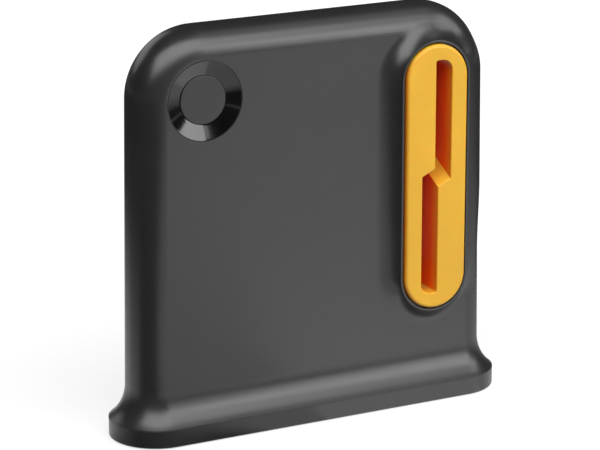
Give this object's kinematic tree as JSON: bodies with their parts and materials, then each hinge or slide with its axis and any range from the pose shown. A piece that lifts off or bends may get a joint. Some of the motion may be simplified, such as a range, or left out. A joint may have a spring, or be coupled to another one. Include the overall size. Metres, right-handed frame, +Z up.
{
  "type": "scissor sharpener",
  "caption": "Free-standing table sharpener for scissors: flat upright housing on a flared foot, with a Z-shaped slot through it and ceramic rods in a rocking carrier.",
  "frame": {"origin": "middle of the underside of the non-slip sole, on the table", "axes": "+Z up; +X along the housing's long side towards the slot; the front face with the badge looks along -Y"},
  "size_m": [0.1148, 0.026, 0.1103],
  "materials": {
    "satin_black_plastic": "fine satin grain",
    "gloss_black_plastic": "polished",
    "orange_plastic": "satin",
    "white_ceramic": "fine ground ceramic",
    "black_rubber": "matt",
    "screw_steel": "zinc-plated",
    "spring_steel": "bright"
  },
  "bodies": {
    "housing": {"body_shell": "satin_black_plastic", "base_tray": "satin_black_plastic", "non_slip_sole": "black_rubber", "front_guide": "orange_plastic", "rear_guide": "orange_plastic", "badge_ring": "gloss_black_plastic", "badge_cap": "satin_black_plastic", "badge_retainer": "spring_steel", "base_screw_1": "screw_steel", "base_screw_2": "screw_steel", "base_screw_3": "screw_steel", "base_screw_4": "screw_steel"},
    "carrier": {"carrier_front": "orange_plastic", "carrier_rear": "orange_plastic", "sharpening_rod_upper": "white_ceramic", "sharpening_rod_lower": "white_ceramic"}
  },
  "joints": [
    {"name": "carrier_rock", "type": "hinge", "parent": "housing", "child": "carrier", "pos_m": [0.03315, 0, 0.06385], "axis": [0, 1, 0], "range_deg": [-4, 4]}
  ]
}
